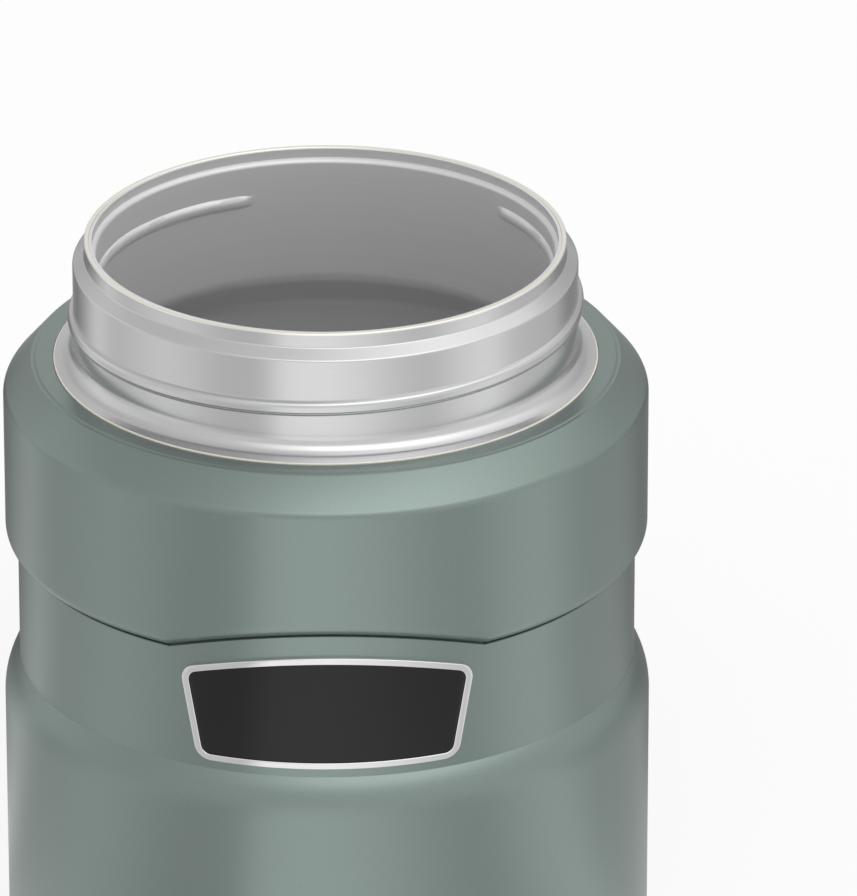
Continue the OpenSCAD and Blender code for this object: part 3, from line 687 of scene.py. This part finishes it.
# how far the frame's small edge rounding is drawn in and how far it has dropped, outside in
edge_turns = [math.radians(a) for a in range(22, 91, 17)]
edge_steps = [(bezel_edge * (1 - math.cos(a)), bezel_edge * (1 - math.sin(a))) for a in edge_turns]
bezel_rows = [(0.0, band_r), (0.0, face_r - bezel_edge)]
bezel_rows += [(inset, face_r - drop) for inset, drop in edge_steps]
bezel_rows += [(bezel_w - inset, face_r - drop) for inset, drop in edge_steps[::-1]]
bezel_rows += [(bezel_w, face_r - bezel_edge), (bezel_w, band_r), (0.0, band_r)]
bezel = ring_by_ring("badge_frame", bent(bezel_rows))
smooth(bezel)
# chrome over a polished casting mirrors the room: light, grey and dark by turns
bezel.data.materials.append(
    plain("zinc_alloy_polished_chrome", ("#dcdcdc", "#e2e2e2"), 1.0, 0.07, 0.3, 0.001))
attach(bezel, "jar")
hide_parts("badge_bezel")

plate_r = band_r + tape_t + plate_t
plate_rows = bent([
    (bezel_w + plate_gap, plate_r - plate_t), (bezel_w + plate_gap, plate_r - 0.12),
    (bezel_w + 0.1, plate_r - 0.03), (bezel_w + 0.3, plate_r)])
plate = ring_by_ring("badge_plate_face", plate_rows)
bpy.ops.object.mode_set(mode="EDIT")
bpy.ops.mesh.select_all(action="DESELECT")
bpy.ops.object.mode_set(mode="OBJECT")
for vertex in plate.data.vertices[-len(plate_rows[0]):]:
    vertex.select = True
bpy.ops.object.mode_set(mode="EDIT")
bpy.ops.mesh.select_mode(type="VERT")
bpy.ops.mesh.edge_face_add()
# the face is cut into upright strips, so that it follows the curve
strips = math.floor(badge_top_x / strip_w)
for k in range(-strips, strips + 1):
    bpy.ops.mesh.select_all(action="SELECT")
    bpy.ops.mesh.bisect(plane_co=(k * strip_w * MM, 0.0, 0.0), plane_no=(1.0, 0.0, 0.0))
bpy.ops.object.mode_set(mode="OBJECT")
smooth(plate)
# even black with one soft, weak highlight
plate.data.materials.append(
    plain("aluminium_black_lacquer", ("#0c0c0c", "#101010"), 0.0, 0.24, 0.3, 0.001,
          Specular_IOR_Level=0.36))
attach(plate, "jar")
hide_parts("badge_plate")
# foam tape takes up the light
finish_nodes(plain("acrylic_foam_tape", ("#333536", "#404243"), 0.0, 0.8, 0.3, 0.02), "badge_tape")


# --------------------------------------------------------------------- cup lid
# The insulated lid that serves as a cup: a powder coated outer cup and a bare steel
# liner, both drawn, closed at the rim by a moulded collar with the screw thread. It
# stands right side up behind the jar, mouth up, so its closed end is underneath.
cup_c = (0.0, 91.0)
cup_r, cup_foot_r, cup_h, cup_round = 43.0, 41.2, 49.0, 6.0
cup_corner_r = cup_foot_r - cup_round
dish_r = cup_corner_r - 2.4
cup_floor_h, cup_gap, dish_h, brow_h = 6.0, 1.7, 0.8, 2.2
collar_h, collar_rim_t, collar_bore_r = 12.0, 1.6, 38.1
rim_z = cup_h - collar_rim_t
lean = math.degrees(math.atan((cup_r - cup_foot_r) / cup_h))


def cup_wall_r(z):
    """Radius of the cup's outside at height z."""
    return cup_foot_r + (cup_r - cup_foot_r) * z / cup_h


cup_line = rounded([(0.0, dish_h), (dish_r - 6.0, dish_h), (dish_r, dish_h, 0.8),
                    (dish_r + 0.6, 0.0, 0.5), (cup_corner_r - 0.5, 0.0)])
cup_line += arc(cup_wall_r(cup_round) - cup_round, cup_round, cup_round, -90, -lean, 14)
cup_line += [(cup_wall_r(rim_z - brow_h), rim_z - brow_h), (cup_wall_r(rim_z), rim_z)]
cup = turned("cup", cup_line, 180, cup_c)
sheet_metal(cup)
smooth(cup)
cup.data.materials.append(sage_coat)
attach(cup, "cup")
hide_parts("cup_outer")

liner_in = wall_t + cup_gap
liner_line = [(0.0, cup_floor_h), (8.0, cup_floor_h)]
round_z = cup_floor_h + cup_round
liner_line += arc(cup_wall_r(round_z) - liner_in - cup_round, round_z, cup_round, -90, -lean, 14)
liner_line += [(cup_wall_r(rim_z) - liner_in, rim_z)]
liner = turned("cup_lining", liner_line, 180, cup_c)
sheet_metal(liner)
smooth(liner)
# satin turned: grey, with blurred highlights that run down the wall
liner.data.materials.append(
    turned_steel("stainless_steel_satin_liner", ("#b8b9b9", "#c8c9c9"), 0.3, 0.5, 0.5, 0.004,
                 cup_c))
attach(liner, "cup")
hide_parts("cup_liner")

collar_z, collar_edge_h, collar_brow_h, collar_rows = cup_h - collar_h, 0.6, 1.0, 40
thread_z, thread_w, thread_h, thread_fade = collar_z + 5.6, 2.4, 0.95, 15.0
collar_foot_r = cup_wall_r(collar_z) - liner_in - wall_t
collar_line = rounded([
    (collar_bore_r, cup_h - collar_brow_h), (collar_bore_r, cup_h, 0.5), (cup_r, cup_h, 0.5),
    (cup_wall_r(rim_z), rim_z, 0.15), (cup_wall_r(rim_z) - liner_in - wall_t, rim_z, 0.1),
    (collar_foot_r, collar_z, 0.3), (collar_bore_r, collar_z, 0.3),
    (collar_bore_r, collar_z + collar_edge_h)])
screwed_h = collar_h - collar_edge_h - collar_brow_h
collar_line += [(collar_bore_r, collar_z + collar_edge_h + screwed_h * k / collar_rows)
                for k in range(1, collar_rows + 1)]
collar = turned("cup_screw_collar", collar_line, 240, cup_c)
roll_bead(collar, collar_bore_r, thread_z, bead_pitch, thread_w, -thread_h,
          (-bead_reach, bead_reach), thread_fade, cup_c)
smooth(collar)
# moulded against a fine texture, so its highlights are broad and faint
collar.data.materials.append(
    plain("polypropylene_moulded_grey", ("#454949", "#4f5353"), 0.0, 0.48, 0.35, 0.02, IOR=1.49))
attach(collar, "cup")
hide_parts("cup_collar")


# --------------------------------------------------------------------- stopper
# The screw stopper: a hollow moulded plug filled with foam, a fluted grip with a
# round tray in its top for the spoon, and a soft ring under the flange that seals.
stand_z, stand_gap = cup_floor_h + wall_t, 0.03        # it stands just clear of the lining
plug_r, plug_h, plug_wall, plug_round, plug_rows = 32.2, 30.0, 2.0, 3.0, 56
screw_z, screw_w, screw_h, screw_reach, screw_fade = stand_z + 22.0, 1.6, 0.6, 520.0, 12.0
stopper_r, stopper_flange_t = 37.0, 3.0
grip_h, grip_r, grip_round, tray_round = 11.0, 36.5, 1.2, 1.2
flutes, flute_depth, flute_w, flute_run, flute_steps = 24, 0.7, 1.3, 1.2, 10
tray_r, tray_depth, tray_t = 33.8, 5.0, 1.6
flange_top = plug_h + stopper_flange_t
grip_top = flange_top + grip_h
tray_z = grip_top - tray_depth

plug_line = [(0.0, stand_gap), (10.0, stand_gap), (12.0, stand_gap)]
plug_line += arc(plug_r - plug_round, plug_round + stand_gap, plug_round, -90, 0, 10)
plug_line += [(plug_r, plug_round + (plug_h - plug_round) * k / plug_rows)
              for k in range(1, plug_rows + 1)]
plug_line += rounded([
    (plug_r, plug_h - 0.05), (plug_r - plug_wall, plug_h), (plug_r - plug_wall, plug_wall, 0.8),
    (0.0, plug_wall)])
plug_line = [(r, z + stand_z) for r, z in plug_line]
plug = turned("stopper_plug", plug_line, 180, cup_c)
roll_bead(plug, plug_r, screw_z, ridge_pitch, screw_w, screw_h, (-screw_reach, screw_reach),
          screw_fade, cup_c)
smooth(plug)
# the same moulded texture, darker
stopper_plastic = plain("polypropylene_moulded_charcoal", ("#3a3e3f", "#434748"), 0.0, 0.45, 0.3,
                        0.02, IOR=1.49)
plug.data.materials.append(stopper_plastic)
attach(plug, "stopper")
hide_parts("stopper_body")

cover_line = [(r, z + stand_z) for r, z in rounded([
    (tray_r - 3.0, tray_z - tray_t), (tray_r, tray_z - tray_t, 0.4), (tray_r, flange_top),
    (plug_r - plug_wall, flange_top), (plug_r - plug_wall, plug_h), (stopper_r, plug_h, 0.4),
    (stopper_r, flange_top, 0.2), (grip_r, flange_top), (grip_r, flange_top + 0.4),
    (grip_r, grip_top - 2 * grip_round), (grip_r, grip_top, grip_round), (tray_r, grip_top, 0.7),
    (tray_r, tray_z, tray_round), (2.0, tray_z)])]
cover_line = [(0.0, cover_line[0][1])] + cover_line + [(0.0, cover_line[-1][1])]
cover = turned("stopper_grip", cover_line, flutes * flute_steps, cup_c)
axis = Vector((*cup_c, 0.0)) * MM
for vertex in cover.data.vertices:
    out = vertex.co - axis
    out.z = 0.0
    reach = out.length / MM
    if reach > grip_r - flute_w and vertex.co.z > (stand_z + flange_top + 0.05) * MM:
        # rounded flutes, deepest half way between two ribs and running out at the crown
        turn_share = (azimuth(vertex.co, cup_c) * flutes / 360) % 1.0
        dip = flute_depth * max(0.0, math.sin(math.pi * turn_share)) ** 1.5
        near = min(1.0, (reach - grip_r + flute_w) / flute_run)
        vertex.co -= out.normalized() * dip * near * MM
smooth(cover)
cover.data.materials.append(stopper_plastic)
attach(cover, "stopper")
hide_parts("stopper_cover")

gasket_w, gasket_h = 1.3, 1.5
gasket_in_r, gasket_top = plug_r + 0.02, plug_h - 0.1
gasket_line = [(r, z + stand_z) for r, z in rounded([
    (gasket_in_r, gasket_top), (gasket_in_r, plug_h - gasket_h, 0.1),
    (plug_r + gasket_w, plug_h - gasket_h * 0.8, 0.4), (plug_r + gasket_w, gasket_top, 0.2),
    (gasket_in_r, gasket_top)])]
gasket = turned("stopper_seal_ring", gasket_line, 180, cup_c)
smooth(gasket)
# silicone is matt and lets a little light in, so its edges look soft
gasket.data.materials.append(
    plain("silicone_moulded_grey", ("#969b99", "#a4a9a7"), 0.0, 0.55, 0.5, 0.02, IOR=1.41,
          Subsurface_Weight=0.1))
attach(gasket, "stopper")
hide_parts("stopper_gasket")
# cut foam: pale, matt and open
finish_nodes(plain("polyurethane_foam_cream", ("#ddd4ba", "#ece5cf"), 0.0, 0.9, 0.6, 0.15),
             "stopper_foam")


# ----------------------------------------------------------------------- spoon
# The folding spoon, pressed from 1 mm stainless sheet and tumble polished. Its tail is
# rolled round a riveted pin between the ears of a channel-shaped handle, and a spring
# leaf under the handle's plate holds it open or folded. It lies folded in the tray.
spoon_t, knuckle_r, pin_r = 1.0, 2.4, 1.2
tail_l, tail_w, tail_root_w = 15.0, 10.0, 15.0
bowl_w, bowl_depth, rim_drop = 33.0, 6.5, 2.2
spoon_clearance, rest_gap = 2.0, 0.3
ear_r = knuckle_r + spoon_t
bowl_reach = 2 * (tray_r - spoon_clearance) - ear_r
half_l, half_w = (bowl_reach - tail_l) / 2, bowl_w / 2
bowl_c_x = half_l - bowl_reach
pin_at = ((bowl_reach - ear_r) / 2, cup_c[1], stand_z + tray_z + rest_gap + bowl_depth + rim_drop)
spoon_steps, rim_bevel, ear_bevel = 40, 0.18, 0.15
rim_ease, waist_soft, floor_soft, root_run = 0.06, 3.0, 2.0, 6.0
# the bowl's form runs from one oval near its tip to a narrower one near its tail; each
# is (place, half length, half width) in shares of the bowl's own
tip_oval, tail_oval = (-0.12, 0.88, 1.0), (0.22, 0.78, 0.86)
ovals = [[a + (b - a) * k / 8 for a, b in zip(tip_oval, tail_oval)] for k in range(9)]


def bowl_share(x, y):
    """0 outside the bowl's rim and 1 over its lowest point; x and y from its middle."""
    return max(0.0, *(1 - ((x / half_l - place) / long) ** 2 - (y / half_w / wide) ** 2
                      for place, long, wide in ovals))


def bowl_half_width(x):
    """Half the bowl's width at x from its middle."""
    return half_w * max(wide * math.sqrt(max(0.0, 1 - ((x / half_l - place) / long) ** 2))
                        for place, long, wide in ovals)


def blend_max(a, b, soft):
    """The larger of two lengths, with the change between them rounded."""
    near = max(0.0, 1 - abs(a - b) / soft)
    return max(a, b) + near * near * soft / 4


def sheet(name, columns, rows, place_of):
    """Lay a sheet of columns by rows: place_of(column, -1 to 1 across) is a point in mm."""
    bpy.ops.object.select_all(action="DESELECT")
    bpy.ops.mesh.primitive_grid_add(x_subdivisions=columns, y_subdivisions=rows, size=2.0)
    piece = bpy.context.object
    piece.name = piece.data.name = name
    for vertex in piece.data.vertices:
        column = round((vertex.co.x + 1) / 2 * columns)
        vertex.co = Vector(place_of(column, vertex.co.y)) * MM
    return piece


def put(piece, place):
    """Shift the piece's mesh by a distance in mm."""
    open_mesh(piece)
    bpy.ops.transform.translate(value=[side * MM for side in place])
    bpy.ops.object.mode_set(mode="OBJECT")


def break_edges(piece, width):
    """Round the piece's sharp edges by this many mm."""
    apply_modifier(piece, "BEVEL", width=width * MM, segments=3, limit_method="ANGLE",
                   angle_limit=math.radians(60))


root_x = bowl_c_x + half_l - 3 * spoon_t
# the first column follows the outline round the tip, the next twenty straighten out
first_angle, last_angle, straight_from = 32.0, 165.8, 20
bowl_steps, tail_steps, eye_steps = 66, 36, 28
bowl_columns = [bowl_c_x - half_l * math.cos(math.radians(
    first_angle + (last_angle - first_angle) * k / bowl_steps)) for k in range(bowl_steps + 1)]
tail_columns = [bowl_columns[-1] * (1 - (k / tail_steps) ** 1.5) for k in range(1, tail_steps)]
eye = arc(0.0, 0.0, knuckle_r, -90, 190, eye_steps)
flat_columns = bowl_columns + tail_columns


def tip_lead(share):
    """How far the tip reaches past the first column, at a share of that column's half width."""
    near, far = -half_l, bowl_columns[0] - bowl_c_x
    across = share * bowl_half_width(far)
    for _ in range(30):
        middle = (near + far) / 2
        near, far = (middle, far) if bowl_half_width(middle) < across else (near, middle)
    return far + bowl_c_x - bowl_columns[0]


def spoon_place(column, across):
    """The underside of the spoon's sheet, from the bowl's tip to the end of the rolled eye."""
    if column >= len(flat_columns):
        x, z = eye[column - len(flat_columns)]
        return x, across * tail_w / 2, z
    x = flat_columns[column]
    on = min(1.0, max(0.0, (x - root_x) / (-2 * knuckle_r - root_x)))
    tail_half = (tail_root_w + (tail_w - tail_root_w) * on) / 2
    tail_half *= min(1.0, max(0.0, (x - bowl_c_x) / (root_x - bowl_c_x)))
    half = blend_max(bowl_half_width(x - bowl_c_x), tail_half, waist_soft)
    y = half * math.sin(across * math.pi / 2)
    x += tip_lead(abs(y) / half) * max(0.0, 1 - column / straight_from)
    rise = max(0.0, x / root_x)
    line_z = -knuckle_r + (knuckle_r - rim_drop) * min(1.0, rise)
    share = bowl_share(x - bowl_c_x, y)
    dip = bowl_depth * share * math.sqrt((1 + rim_ease) / (share + rim_ease))
    under = spoon_t * min(1.0, max(0.0, (x - root_x + root_run) / root_run))
    tail_dip = under * (1 - min(1.0, max(0.0, (x - root_x) / -root_x)))
    return x, y, line_z - blend_max(dip, tail_dip, floor_soft)


bowl = sheet("spoon_bowl_sheet", len(flat_columns) + len(eye) - 1, spoon_steps, spoon_place)
apply_modifier(bowl, "SOLIDIFY", thickness=spoon_t * MM, offset=1.0, use_even_offset=False)
break_edges(bowl, rim_bevel)
put(bowl, pin_at)
smooth(bowl, 40.0)
# tumbling leaves steel bright, with slightly soft reflections and no direction
spoon_steel = plain("stainless_steel_tumbled_spoon", ("#c6c7c8", "#cecfd0"), 1.0, 0.2, 0.2, 0.001)
bowl.data.materials.append(spoon_steel)
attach(bowl, "spoon")
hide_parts("spoon_bowl")

ear_gap, handle_taper, flange_drop, bend_r = 1.2, 3.4, 3.6, 1.3
handle_w = tail_w + 2 * (ear_gap + spoon_t)
handle_tip_r = (handle_w - handle_taper) / 2
tip_x = handle_tip_r - bowl_reach
side_columns = 24
handle_edge = [(tip_x * k / side_columns, (handle_w - handle_taper * k / side_columns) / 2)
               for k in range(side_columns)]
handle_edge += (arc(tip_x, 0.0, handle_tip_r, 90, 270, 32)
                + [(x, -y) for x, y in handle_edge[::-1]])
handle_rows = [(handle_tip_r, 0.0), (bend_r + 0.4, 0.0)]
handle_rows += [(bend_r * (1 - math.sin(math.radians(a))), bend_r * (1 - math.cos(math.radians(a))))
                for a in range(0, 100, 15)]
handle_rows += [(0.0, spoon_t + flange_drop)]


def handle_place(column, across):
    """The handle's outside: plate, bent edge and side flange, all round its free end."""
    x, y = handle_edge[column]
    inset, drop = handle_rows[round((across + 1) / 2 * (len(handle_rows) - 1))]
    spine_x = max(x, tip_x)
    reach = math.hypot(x - spine_x, y)
    keep = 0.0 if inset == handle_tip_r else (reach - inset) / reach
    return spine_x + (x - spine_x) * keep, y * keep, ear_r - drop


handle = sheet("spoon_handle_channel", len(handle_edge) - 1, len(handle_rows) - 1, handle_place)
close_up(handle, 0.01)
plate_up = sum(face.normal.z * face.area for face in handle.data.polygons) > 0
apply_modifier(handle, "SOLIDIFY", thickness=spoon_t * MM, offset=-1.0 if plate_up else 1.0,
               use_even_offset=True)
break_edges(handle, ear_bevel)


def lay_across(piece):
    """Turn the piece's mesh from standing up to lying across the spoon."""
    open_mesh(piece)
    bpy.ops.transform.rotate(value=math.pi / 2, orient_axis="X", center_override=(0.0, 0.0, 0.0))
    bpy.ops.object.mode_set(mode="OBJECT")


def join(piece, other):
    """Make the other piece part of the first."""
    pick(piece)
    other.select_set(True)
    bpy.ops.object.join()


for side in (-1, 1):
    bpy.ops.object.select_all(action="DESELECT")
    bpy.ops.mesh.primitive_cylinder_add(vertices=72, radius=ear_r * MM, depth=(spoon_t - 0.06) * MM)
    ear = bpy.context.object
    lay_across(ear)
    break_edges(ear, ear_bevel)
    put(ear, (0.0, side * (handle_w - spoon_t) / 2, 0.0))
    join(handle, ear)
put(handle, pin_at)
smooth(handle, 40.0)
handle.data.materials.append(spoon_steel)
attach(handle, "spoon_grip")
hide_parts("spoon_handle")

rivet_r, rivet_t = 2.2, 0.6
ear_out = handle_w / 2
rivet_head = [(pin_r, ear_out), (rivet_r, ear_out, 0.1), (rivet_r * 0.75, ear_out + rivet_t, 0.4),
              (0.5, ear_out + rivet_t), (0.0, ear_out + rivet_t)]
rivet_foot = [(point[0], -point[1], *point[2:]) for point in rivet_head[::-1]]
rivet = turned("spoon_rivet", rounded(rivet_foot + rivet_head), 48)
lay_across(rivet)
put(rivet, pin_at)
smooth(rivet, 40.0)
rivet.data.materials.append(spoon_steel)
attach(rivet, "spoon_grip")
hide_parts("spoon_pin")

catch_w, catch_l, catch_gap, catch_t = 8.0, 34.0, 4.4, 0.7
oval_l, oval_w, oval_h = 13.0, 4.0, 0.4
leaf_top = ear_r - spoon_t
leaf_tip_x = -catch_gap - catch_w / 2


def leaf_outline(inset):
    """The spring leaf from above: round at its free tip, square where it is welded on."""
    half = catch_w / 2 - inset
    far = leaf_tip_x + catch_w / 2 - catch_l + inset
    return arc(leaf_tip_x, 0.0, half, -90, 90, 24) + [(far, half), (far, -half)]


def oval_outline(inset):
    """The oval pressed into the leaf, from above."""
    half = oval_w / 2 - inset
    far = leaf_tip_x + oval_w - oval_l
    return arc(leaf_tip_x, 0.0, half, -90, 90, 16) + arc(far, 0.0, half, 90, 270, 16)


def stacked(name, rows, outline):
    """A closed piece from level outlines one above the other: rows of (inset, height)."""
    return ring_by_ring(name, [[(x, y, height) for x, y in outline(inset)]
                               for inset, height in rows], "NGON")


leaf_foot = leaf_top - catch_t
leaf = stacked("spoon_spring_leaf", [
    (0.12, leaf_foot), (0.03, leaf_foot + 0.04), (0.0, leaf_foot + 0.12), (0.0, leaf_top)],
    leaf_outline)
oval = stacked("pressed_oval", [
    (1.1, leaf_foot - oval_h), (0.7, leaf_foot - oval_h * 0.92), (0.35, leaf_foot - oval_h * 0.6),
    (0.1, leaf_foot - oval_h * 0.2), (0.0, leaf_foot + 0.1)], oval_outline)
join(leaf, oval)
put(leaf, pin_at)
smooth(leaf, 40.0)
# rolled and polished strip, a little brighter than the spoon
leaf.data.materials.append(
    plain("spring_steel_polished_leaf", ("#cdcecf", "#d5d6d7"), 1.0, 0.16, 0.2, 0.001))
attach(leaf, "spoon_grip")
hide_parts("spoon_catch")
